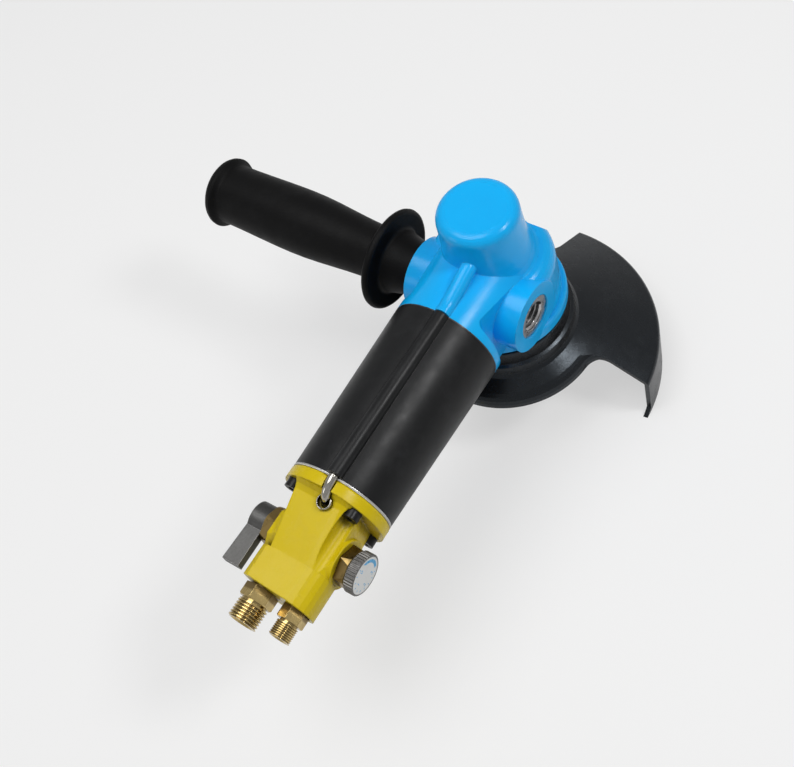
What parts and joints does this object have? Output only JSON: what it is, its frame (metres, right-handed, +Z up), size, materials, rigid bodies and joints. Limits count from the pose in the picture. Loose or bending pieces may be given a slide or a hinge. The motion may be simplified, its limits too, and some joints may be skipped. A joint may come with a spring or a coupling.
{
  "type": "air polisher",
  "caption": "Air driven wet polisher: angle head with central water feed, vane motor, rotary throttle and water valves, side handle and turnable splash guard.",
  "frame": {"origin": "on the spindle axis, in the plane of the flange face that the pad seats on", "axes": "+X along the motor axis, out of the front of the head; +Y towards the side handle; +Z up the spindle axis, away from the pad"},
  "size_m": [0.2613, 0.2212, 0.133],
  "materials": {
    "cover_blue": "moulded soft cover, satin with fine grain",
    "cast_alloy": "machined casting",
    "housing_alloy": "turned, satin",
    "bearing_steel": "ground",
    "seal_rubber": "moulded, satin",
    "brass": "turned, slightly tarnished",
    "bright_tube": "bright plated tube",
    "sleeve_rubber": "moulded, satin sheen",
    "motor_iron": "ground",
    "gasket_fibre": "pressed fibre",
    "yellow_paint": "yellow enamel over a casting",
    "black_screw": "black oxide, satin",
    "grip_black": "moulded, fine grain",
    "plain_steel": "turned and ground, oiled",
    "vane_fibre": "laminated phenolic",
    "guard_black": "moulded, satin",
    "lever_metal": "cast and plated, worn",
    "knob_metal": "knurled",
    "dial_white": "printed disc"
  },
  "bodies": {
    "tool": {"head_cover": "cover_blue", "gear_housing": "cast_alloy", "lower_bearing_outer": "bearing_steel", "upper_bearing_outer": "bearing_steel", "bearing_cap": "cast_alloy", "spindle_seal": "seal_rubber", "water_cap": "brass", "water_seal": "seal_rubber", "cap_o_ring": "seal_rubber", "water_tube": "bright_tube", "tube_ferrule": "bright_tube", "motor_housing": "housing_alloy", "rubber_sleeve": "sleeve_rubber", "motor_cylinder": "motor_iron", "front_plate": "motor_iron", "rear_plate": "motor_iron", "front_bearing_outer": "bearing_steel", "rear_bearing_outer": "bearing_steel", "tail_gasket": "gasket_fibre", "valve_housing": "yellow_paint", "flange_screws": "black_screw", "throttle_gland": "brass", "water_gland": "brass", "air_fitting": "brass", "water_fitting": "brass", "handle_grip": "grip_black", "handle_core": "plain_steel", "handle_end_screw": "black_screw"},
    "guard": {"splash_guard": "guard_black"},
    "spindle": {"spindle": "plain_steel", "bevel_gear": "plain_steel", "gear_key": "plain_steel", "gear_circlip": "plain_steel", "lower_bearing_inner": "bearing_steel", "upper_bearing_inner": "bearing_steel"},
    "rotor": {"rotor": "plain_steel", "vanes": "vane_fibre", "bevel_pinion": "plain_steel", "pinion_key": "plain_steel", "front_bearing_inner": "bearing_steel", "rear_bearing_inner": "bearing_steel"},
    "lever": {"throttle_lever": "lever_metal", "throttle_plug": "plain_steel", "throttle_o_ring": "seal_rubber", "lever_screw": "black_screw"},
    "knob": {"water_knob": "knob_metal", "knob_dial": "dial_white", "water_plug": "brass", "water_o_ring": "seal_rubber", "knob_screw": "black_screw"}
  },
  "joints": [
    {"name": "spindle_spin", "type": "hinge", "parent": "tool", "child": "spindle", "pos_m": [0, 0, 0.02], "axis": [0, 0, 1], "continuous": true},
    {"name": "rotor_spin", "type": "hinge", "parent": "tool", "child": "rotor", "pos_m": [-0.075, 0, 0.055], "axis": [1, 0, 0], "continuous": true},
    {"name": "throttle_turn", "type": "hinge", "parent": "tool", "child": "lever", "pos_m": [-0.1496, 0.02, 0.055], "axis": [0, 1, 0], "range_deg": [0, 90]},
    {"name": "water_turn", "type": "hinge", "parent": "tool", "child": "knob", "pos_m": [-0.1496, -0.02, 0.055], "axis": [0, -1, 0], "range_deg": [0, 270]},
    {"name": "guard_swivel", "type": "hinge", "parent": "tool", "child": "guard", "pos_m": [0, 0, 0.02], "axis": [0, 0, 1], "continuous": true}
  ],
  "couplings": [
    {"joint": "rotor_spin", "follows": "spindle_spin", "ratio": -2.5}
  ]
}
